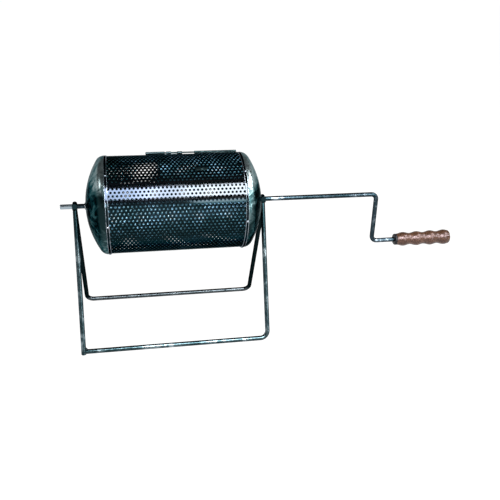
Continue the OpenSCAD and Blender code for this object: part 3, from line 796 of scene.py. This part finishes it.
def sums(tree, operation, a, b):
    node = tree.nodes.new('ShaderNodeMath')
    node.operation = operation
    for socket, value in zip(node.inputs, (a, b)):
        if isinstance(value, (int, float)):
            socket.default_value = value
        else:
            tree.links.new(value, socket)
    return node.outputs['Value']


def times(tree, a, b):
    return sums(tree, 'MULTIPLY', a, b)


def plus(tree, a, b):
    return sums(tree, 'ADD', a, b)


def minus(tree, a, b):
    return sums(tree, 'SUBTRACT', a, b)


def larger(tree, a, b):
    return sums(tree, 'MAXIMUM', a, b)


def tones(tree, value, stops):
    ramp = tree.nodes.new('ShaderNodeValToRGB')
    marks = ramp.color_ramp.elements
    while len(marks) < len(stops):
        marks.new(0.5)
    for mark, (at, colour) in zip(marks, stops):
        mark.position = at
        mark.color = (*colour, 1)
    tree.links.new(value, ramp.inputs['Fac'])
    return ramp.outputs['Color']


def mask(tree, value, stops):
    """A grey scale by its stops, to blend or weigh with."""
    return tones(tree, value, [(at, (grey, grey, grey)) for at, grey in stops])


def coat(tree, shader, colour, roughness):
    tree.links.new(colour, shader.inputs['Base Color'])
    tree.links.new(roughness, shader.inputs['Roughness'])


def blend_tones(tree, share, a, b):
    node = tree.nodes.new('ShaderNodeMix')
    node.data_type = 'RGBA'
    tree.links.new(share, node.inputs[0])
    for socket, value in ((node.inputs[6], a), (node.inputs[7], b)):
        if isinstance(value, tuple):
            socket.default_value = (*value, 1)
        else:
            tree.links.new(value, socket)
    return node.outputs[2]


def relief(tree, shader, value, strength, depth):
    bump = tree.nodes.new('ShaderNodeBump')
    bump.inputs['Strength'].default_value = strength
    bump.inputs['Distance'].default_value = depth
    tree.links.new(value, bump.inputs['Height'])
    tree.links.new(bump.outputs['Normal'], shader.inputs['Normal'])


def as_metal(shader, edge):
    """Metal, with the tint that it keeps where it is seen at a slant."""
    shader.inputs['Metallic'].default_value = 1
    shader.inputs['Specular Tint'].default_value = (*edge, 1)


def blued_sheet():
    """Dark blue-green heat-tinted sheet, smooth, with smudges of soot and oil; a brighter belt is painted
    where the lamp's band reflects (painted highlight), and the lower front is painted near-black (painted
    shade).
    """
    material, tree, shader = finish("blued_sheet")
    as_metal(shader, (0.14, 0.18, 0.19))
    smudge = grain(tree, 9, detail=7, rough=0.62, swirl=0.6)
    streak = grain(tree, 1, stretch=(14, 120, 120), shift=(3, 1, 2))
    darkened = tones(tree, smudge, [(0.30, (0.005, 0.013, 0.015)), (0.50, (0.009, 0.021, 0.025)),
                                 (0.72, (0.016, 0.031, 0.042))])
    tinted = tones(tree, smudge, [(0.30, (0.010, 0.014, 0.019)), (0.50, (0.016, 0.021, 0.031)),
                                  (0.72, (0.026, 0.032, 0.050))])
    painted_highlight_right = tones(tree, smudge, [(0.30, (0.019, 0.022, 0.025)), (0.50, (0.028, 0.032, 0.036)),
                                (0.72, (0.040, 0.044, 0.050))])
    # Painted highlight: brighter tones for the belt where the lamp's band reflects, dimmer and bluer to the
    # left.
    painted_lit = blend_tones(tree, height(tree, 'X', -0.30, -0.14), tinted, painted_highlight_right)
    lamp_band_belt = mask(tree, height(tree, 'Z', 0.27, 0.40), [(0.40, 0), (0.48, 1), (0.69, 1), (0.78, 0.1)])
    # Painted shade: the lower front, and a strip under the belt on the right, blend to near-black.
    shaded = mask(tree, height(tree, 'Z', 0.23, 0.31), [(0.10, 0), (0.35, 1), (0.72, 1), (0.90, 0)])
    painted_shade_under_band = mask(tree, height(tree, 'Z', 0.30, 0.34), [(0.20, 0), (0.38, 1), (0.62, 1), (0.78, 0)])
    right_half = height(tree, 'X', -0.24, -0.16)
    shaded = larger(tree, shaded, times(tree, painted_shade_under_band, right_half))
    front = blend_tones(tree, shaded, darkened, (0.004, 0.010, 0.012))
    colour = blend_tones(tree, lamp_band_belt, front, painted_lit)
    coat(tree, shader, colour, span(tree, streak, 0.3, 0.7, 0.06, 0.13))
    relief(tree, shader, grain(tree, 26, detail=3), 0.22, 0.4 * MM)
    return material


def scoured_inside():
    """The inside of the sheet, worn by the nuts, sooty in patches, and painted lighter low down (painted
    light).
    """
    material, tree, shader = finish("scoured_inside")
    as_metal(shader, (0.25, 0.30, 0.32))
    crust = grain(tree, 40, detail=7, rough=0.7)
    # Painted light: the inside is made lighter low down, where the lit back wall shows through the lower
    # holes.
    low = times(tree, height(tree, 'Z', 0.300, 0.240), 0.30)
    scour_and_painted_light = plus(tree, minus(tree, crust, 0.14), low)
    colour = tones(tree, scour_and_painted_light, [(0.30, (0.02, 0.06, 0.07)), (0.50, (0.12, 0.27, 0.32)),
                                   (0.70, (0.40, 0.64, 0.76))])
    coat(tree, shader, colour, span(tree, crust, 0.3, 0.7, 0.55, 0.35))
    relief(tree, shader, grain(tree, 130, detail=5), 0.3, 0.2 * MM)
    return material


def punched_wall():
    """The walls of the punched holes: dark crusted cones that stand in for the shade seen through the drum
    (painted shade), lighter at some heights (painted light) and black within the lamp's band (painted
    shade).
    """
    material, tree, shader = finish("punched_wall")
    as_metal(shader, (0.04, 0.08, 0.09))
    crust = grain(tree, 30, detail=8, rough=0.75, swirl=0.8)
    # Painted light: the walls are lighter at some heights, as if lit or glinting.
    tone_level = mask(tree, height(tree, 'Z', 0.20, 0.40),
                  [(0.30, 0), (0.48, 0.12), (0.60, 0.18), (0.74, 0), (0.95, 0.08)])
    # The walls are made darker at the upper left.
    left_top_darker = times(tree, height(tree, 'X', -0.300, -0.330), height(tree, 'Z', 0.33, 0.36))
    crust = minus(tree, crust, times(tree, left_top_darker, 0.25))
    crust_and_painted_light = tones(tree, plus(tree, crust, tone_level), [(0.40, (0.004, 0.012, 0.013)),
                                                    (0.58, (0.016, 0.043, 0.057)),
                                                    (0.78, (0.075, 0.150, 0.215))])
    # Painted shade: within the lamp's band the walls and their slanting tint go black.
    lamp_band_belt = mask(tree, height(tree, 'Z', 0.30, 0.38), [(0.25, 0), (0.38, 1), (0.74, 1), (0.84, 0)])
    colour = blend_tones(tree, lamp_band_belt, crust_and_painted_light, (0.0006, 0.0012, 0.0016))
    coat(tree, shader, colour, span(tree, crust, 0.3, 0.7, 0.55, 0.35))
    edge = blend_tones(tree, lamp_band_belt, (0.04, 0.08, 0.09), (0.002, 0.003, 0.004))
    tree.links.new(edge, shader.inputs['Specular Tint'])
    relief(tree, shader, grain(tree, 400, detail=4), 0.2, 0.1 * MM)
    return material


def pressed_steel():
    """The domed ends: uneven glossy steel, mottled; painted light makes the tops lighter, more so on the
    right end, and painted shade darkens a patch beside the left seam and the right end below its top; the
    left end is lighter low down.
    """
    material, tree, shader = finish("pressed_steel")
    as_metal(shader, (0.20, 0.25, 0.26))
    mottle = grain(tree, 30, shift=(0.4, 0.1, 0.7), detail=9, rough=0.70, swirl=1.8)
    brushed = grain(tree, 1, stretch=(60, 30, 150), detail=6)
    # Painted light: the tops of the ends are lighter; painted shade: a dark patch beside the left seam,
    # under the top.
    painted_light_top = height(tree, 'Z', 0.334, 0.358)
    low_part = height(tree, 'Z', 0.305, 0.230)
    left_seam = mask(tree, height(tree, 'X', -0.40, 0), [(0.090, 0), (0.125, 1), (0.165, 1), (0.250, 0)])
    shaded = times(tree, left_seam, minus(tree, 1.0, larger(tree, painted_light_top, low_part)))
    right_side = height(tree, 'X', -0.10, -0.05)
    tone_level = plus(tree, times(tree, painted_light_top, 0.24), minus(tree, mottle, 0.10))
    tone_level = minus(tree, tone_level, times(tree, shaded, 0.20))
    tone_level = plus(tree, tone_level, times(tree, times(tree, right_side, painted_light_top), 0.08))
    # The left end is made lighter low down.
    left_low_lighter = times(tree, minus(tree, 1.0, right_side), low_part)
    tone_level = plus(tree, tone_level, times(tree, left_low_lighter, 0.11))
    # Painted shade: the right end is darker below its top.
    right_painted_shade = times(tree, right_side, minus(tree, 1.0, painted_light_top))
    tone_level = minus(tree, tone_level, times(tree, right_painted_shade, 0.07))
    colour = tones(tree, tone_level, [(0.30, (0.009, 0.022, 0.024)), (0.40, (0.036, 0.070, 0.075)),
                                  (0.50, (0.100, 0.160, 0.168)), (0.66, (0.320, 0.400, 0.410))])
    coat(tree, shader, colour, span(tree, brushed, 0.3, 0.7, 0.16, 0.36))
    dents = grain(tree, 13, shift=(0.9, 0.3, 0.2), detail=2, swirl=0.5)
    relief(tree, shader, dents, 0.55, 6 * MM)
    return material


def rubbed_sheen_edge():
    """Edges of the skirts and rivets of the ends, worn bright here and there; along the hem lines their
    light tones are also a painted highlight.
    """
    material, tree, shader = finish("rubbed_sheen_edge")
    as_metal(shader, (0.5, 0.53, 0.57))
    wear = grain(tree, 45, detail=7, rough=0.70)
    colour = tones(tree, wear, [(0.38, (0.03, 0.05, 0.06)), (0.50, (0.20, 0.24, 0.28)),
                                (0.66, (0.62, 0.66, 0.72))])
    coat(tree, shader, colour, span(tree, wear, 0.3, 0.7, 0.45, 0.22))
    relief(tree, shader, grain(tree, 260, detail=4), 0.15, 0.2 * MM)
    return material


def oiled_bar(name, dark, mid, bright, edge=(0.10, 0.13, 0.14), black_top=0.0, dull=0.26):
    """Round bar: dark mill skin with fine scratches and a few rubbed patches."""
    material, tree, shader = finish(name)
    as_metal(shader, edge)
    wear = grain(tree, 34, shift=(0.2, 0.5, 0.3), detail=8, rough=0.70, swirl=0.4)
    # The top of the bar is made darker by black_top, used on the front leg.
    darkened = times(tree, height(tree, 'Z', 0.225, 0.250), black_top)
    colour = tones(tree, minus(tree, wear, darkened), [(0.38, dark), (0.52, mid), (0.70, bright)])
    coat(tree, shader, colour, span(tree, wear, 0.3, 0.7, dull, dull - 0.10))
    relief(tree, shader, grain(tree, 500, detail=4), 0.10, 0.1 * MM)
    return material


def handled_bar():
    """The crank: dark skin, rubbed silvery at the free end, past the right saddle and near the grip."""
    material, tree, shader = finish("handled_bar")
    as_metal(shader, (0.12, 0.15, 0.17))
    wear = grain(tree, 60, shift=(0.2, 0.5, 0.3), detail=8, rough=0.72, swirl=0.4)
    along = height(tree, 'X', -0.45, 0.45)
    rubs = mask(tree, along, [(0.046, 1.7), (0.050, 0), (0.500, 0), (0.510, 0.8), (0.530, 0.7), (0.545, 0.1),
                              (0.760, 0.3), (0.790, 0.5)])
    tone_level = plus(tree, wear, times(tree, rubs, 0.20))
    colour = tones(tree, tone_level, [(0.46, (0.010, 0.022, 0.028)), (0.62, (0.036, 0.054, 0.068)),
                                  (0.82, (0.360, 0.430, 0.480))])
    coat(tree, shader, colour, span(tree, wear, 0.3, 0.7, 0.30, 0.16))
    relief(tree, shader, grain(tree, 500, detail=4), 0.12, 0.1 * MM)
    return material


def shade_blackened_bar():
    """The rear leg: the uprights painted near-black (painted shade), the bar along the ground lighter
    (painted light).
    """
    material, tree, shader = finish("shade_blackened_bar")
    as_metal(shader, (0.05, 0.06, 0.06))
    wear = grain(tree, 40, shift=(0.6, 0.1, 0.9), detail=8, rough=0.70)
    # Painted shade: the uprights near-black; painted light: the bar along the ground lighter.
    painted_lit = height(tree, 'Z', 0.020, 0.010)
    shown = times(tree, painted_lit, plus(tree, wear, 0.15))
    colour = tones(tree, shown, [(0.10, (0.006, 0.012, 0.013)), (0.50, (0.014, 0.021, 0.025)),
                                 (0.75, (0.080, 0.095, 0.105))])
    coat(tree, shader, colour, span(tree, painted_lit, 0, 1, 0.42, 0.20))
    relief(tree, shader, grain(tree, 420, detail=4), 0.10, 0.1 * MM)
    return material


def turned_wood():
    """Brown turned wood with its grain along the grip, varnished."""
    material, tree, shader = finish("turned_wood")
    fibre = grain(tree, 1, stretch=(20, 420, 420), detail=4, rough=0.55, swirl=0.3)
    figure = grain(tree, 1, stretch=(9, 70, 70), shift=(2, 5, 1), detail=4, swirl=1.2)
    both = plus(tree, times(tree, fibre, 0.55), times(tree, figure, 0.45))
    colour = tones(tree, both, [(0.32, (0.010, 0.005, 0.002)), (0.46, (0.022, 0.010, 0.005)),
                                (0.58, (0.036, 0.017, 0.009)), (0.72, (0.054, 0.026, 0.015))])
    coat(tree, shader, colour, span(tree, fibre, 0.3, 0.7, 0.25, 0.31))
    shader.inputs['Specular IOR Level'].default_value = 0.46
    shader.inputs['Specular Tint'].default_value = (1.0, 0.80, 0.84, 1)
    return material


def black_enamel():
    material, tree, shader = finish("black_enamel")
    chips = grain(tree, 90, detail=6, rough=0.7)
    colour = tones(tree, chips, [(0.35, (0.003, 0.003, 0.004)), (0.60, (0.008, 0.008, 0.010)),
                                 (0.80, (0.030, 0.028, 0.030))])
    coat(tree, shader, colour, span(tree, chips, 0.3, 0.7, 0.28, 0.48))
    shader.inputs['Specular IOR Level'].default_value = 0.12
    relief(tree, shader, grain(tree, 350, detail=3), 0.10, 0.15 * MM)
    return material


drum_finish = blued_sheet()
inside_finish = scoured_inside()
hole_finish = punched_wall()
cap_finish = pressed_steel()
skirt_finish = rubbed_sheen_edge()
bar_finish = oiled_bar("oiled_bar", (0.012, 0.028, 0.033), (0.046, 0.074, 0.084), (0.34, 0.41, 0.44),
                       black_top=0.30)
rear_finish = shade_blackened_bar()
crank_finish = handled_bar()
hinge_finish = oiled_bar("hinge_steel", (0.006, 0.012, 0.013), (0.014, 0.026, 0.028), (0.06, 0.08, 0.085),
                         (0.015, 0.022, 0.023), dull=0.50)
bracket_finish = oiled_bar("bracket_steel", (0.010, 0.020, 0.022), (0.030, 0.046, 0.052),
                           (0.11, 0.14, 0.15), (0.03, 0.04, 0.04), dull=0.45)
weld_finish = oiled_bar("weld_metal", (0.040, 0.055, 0.062), (0.190, 0.220, 0.240), (0.62, 0.67, 0.71))
wood_finish = turned_wood()
ferrule_finish = black_enamel()


# The pieces

half_rows = HOLE_ROWS // 2
drum_sheet("drum_sheet_upper", (FIRST_ROW, FIRST_ROW + half_rows), True)
drum_sheet("drum_sheet_lower", (FIRST_ROW + half_rows, FIRST_ROW + HOLE_ROWS), False)
domed_end("left_domed_end", -1, "left_cap")
domed_end("right_domed_end", 1, "right_cap")
end_rivets("left_end_rivets", -1, "left_rivets")
end_rivets("right_end_rivets", 1, "right_rivets")
shaft_boss("left_shaft_boss", -1, "left_boss")
shaft_boss("right_shaft_boss", 1, "right_boss")
crank_bar()
bracket()
lug()
pivot_rod()
leaf_rivets("bracket_rivets", "drum", "hinge_rivets", BRACKET_RIVET_X + ((LUG_X0 + LUG_X1) / 2,),
            HINGE_ANGLE - RIVET_BACK, LEAF_OUT_R)
button_pivot()
door_sheet()
door_leaf()
leaf_rivets("door_leaf_rivets", "door", "door_rivets", DOOR_RIVET_X,
            HINGE_ANGLE + RIVET_BACK, DOOR_LEAF_OUT_R)
turn_button()
handle_grip()
ferrule_ring()
rod_washer()
rod_cap()
stand_leg("front_stand_leg", FRONT_REACH, -1, True, bar_finish, "front_leg")
stand_leg("rear_stand_leg", REAR_REACH, 1, False, rear_finish, "rear_leg")
saddle("left_shaft_saddle", LEFT_SADDLE_X, "left_saddle")
saddle("right_shaft_saddle", RIGHT_SADDLE_X, "right_saddle")


# Floor, light and camera, with angles in degrees

FLOOR_HALF = 14
PAPER_TONE = 0.80
PAPER_GLOW = 1.06
PAPER_GLOW_SHARE = 0.94
ROOM_FILL = 0.42
CAMERA_AT = (-0.09756, -1.31191, 0.49814)
CAMERA_YAW = 11.249
CAMERA_PITCH = 24.778
CAMERA_ROLL = 1.648
CAMERA_LENS_MM = 48.03
CAMERA_SENSOR_MM = 36


def shown_rays(tree):
    """1 for rays that show a surface to the camera, straight, mirrored or through glass."""
    path = tree.nodes.new('ShaderNodeLightPath')
    seen = larger(tree, path.outputs['Is Camera Ray'], path.outputs['Is Glossy Ray'])
    return larger(tree, seen, path.outputs['Is Transmission Ray'])


def pale_floor():
    bm = bmesh.new()
    bmesh.ops.create_grid(bm, x_segments=1, y_segments=1, size=FLOOR_HALF)
    mesh = bpy.data.meshes.new("floor")
    bm.to_mesh(mesh)
    bm.free()
    material = bpy.data.materials.new("floor_paper")
    material.use_nodes = True
    tree = material.node_tree
    tree.nodes.clear()
    out = tree.nodes.new('ShaderNodeOutputMaterial')
    paper = tree.nodes.new('ShaderNodeBsdfDiffuse')
    paper.inputs['Color'].default_value = (PAPER_TONE, PAPER_TONE, PAPER_TONE, 1)
    white = tree.nodes.new('ShaderNodeEmission')
    white.inputs['Strength'].default_value = PAPER_GLOW
    mix = tree.nodes.new('ShaderNodeMixShader')
    tree.links.new(times(tree, shown_rays(tree), PAPER_GLOW_SHARE), mix.inputs[0])
    tree.links.new(paper.outputs['BSDF'], mix.inputs[1])
    tree.links.new(white.outputs['Emission'], mix.inputs[2])
    tree.links.new(mix.outputs['Shader'], out.inputs['Surface'])
    mesh.materials.append(material)
    floor = bpy.data.objects.new("floor", mesh)
    bpy.context.scene.collection.objects.link(floor)


def studio_room():
    """White near the horizon, a dimmer ceiling above, and an even soft fill."""
    world = bpy.data.worlds.new("studio_room")
    world.use_nodes = True
    tree = world.node_tree
    tree.nodes.clear()
    out = tree.nodes.new('ShaderNodeOutputWorld')
    back = tree.nodes.new('ShaderNodeBackground')
    coords = tree.nodes.new('ShaderNodeTexCoord')
    split = tree.nodes.new('ShaderNodeSeparateXYZ')
    tree.links.new(coords.outputs['Generated'], split.inputs['Vector'])
    ceiling = mask(tree, split.outputs['Z'], [(0.18, 1), (0.45, 0.12)])
    colour = blend_tones(tree, shown_rays(tree), (ROOM_FILL, ROOM_FILL, ROOM_FILL), ceiling)
    tree.links.new(colour, back.inputs['Color'])
    tree.links.new(back.outputs['Background'], out.inputs['Surface'])
    bpy.context.scene.world = world


def softbox(name, at, aim, size, glow):
    """A flat lamp, its width level, turned to its aim, with the brightness of its face."""
    lamp = bpy.data.lights.new(name, 'AREA')
    lamp.shape = 'RECTANGLE'
    lamp.size, lamp.size_y = size
    lamp.energy = glow * pi * size[0] * size[1]
    obj = bpy.data.objects.new(name, lamp)
    obj.location = DRUM_MIDDLE + Vector(at)
    obj.rotation_euler = (Vector(aim) - Vector(at)).to_track_quat('-Z', 'Y').to_euler()
    bpy.context.scene.collection.objects.link(obj)


def photo_camera():
    yaw, pitch, roll = radians(CAMERA_YAW), radians(CAMERA_PITCH), radians(CAMERA_ROLL)
    ahead = Vector((sin(yaw) * cos(pitch), cos(yaw) * cos(pitch), -sin(pitch)))
    level = Vector((cos(yaw), -sin(yaw), 0))
    up = level.cross(ahead)
    right = cos(roll) * level + sin(roll) * up
    top = cos(roll) * up - sin(roll) * level
    lens = bpy.data.cameras.new("photo_camera")
    lens.sensor_width = CAMERA_SENSOR_MM
    lens.lens = CAMERA_LENS_MM
    obj = bpy.data.objects.new("photo_camera", lens)
    turn = Matrix((right, top, -ahead)).transposed().to_4x4()
    obj.matrix_world = Matrix.Translation(DRUM_MIDDLE + Vector(CAMERA_AT)) @ turn
    bpy.context.scene.collection.objects.link(obj)
    bpy.context.scene.camera = obj


pale_floor()
studio_room()
softbox("band_light", at=(0.175, -1.12, 1.12), aim=(0, 0, 0), size=(0.80, 0.74), glow=32)
softbox("right_light", at=(1.32, -0.38, 1.10), aim=(0.15, 0, 0), size=(0.80, 0.66), glow=14)
softbox("left_light", at=(-1.25, -0.25, 1.10), aim=(-0.1, 0, 0), size=(0.4, 0.4), glow=7)
softbox("grip_light", at=(0.98, -0.745, 0.41), aim=(0.565, 0, -0.112), size=(1.9, 0.18), glow=17)
softbox("leg_light", at=(1.10, -1.35, 0.35), aim=(0, 0, -0.15), size=(0.22, 1.2), glow=12)
photo_camera()
bpy.context.scene.view_settings.view_transform = 'Standard'
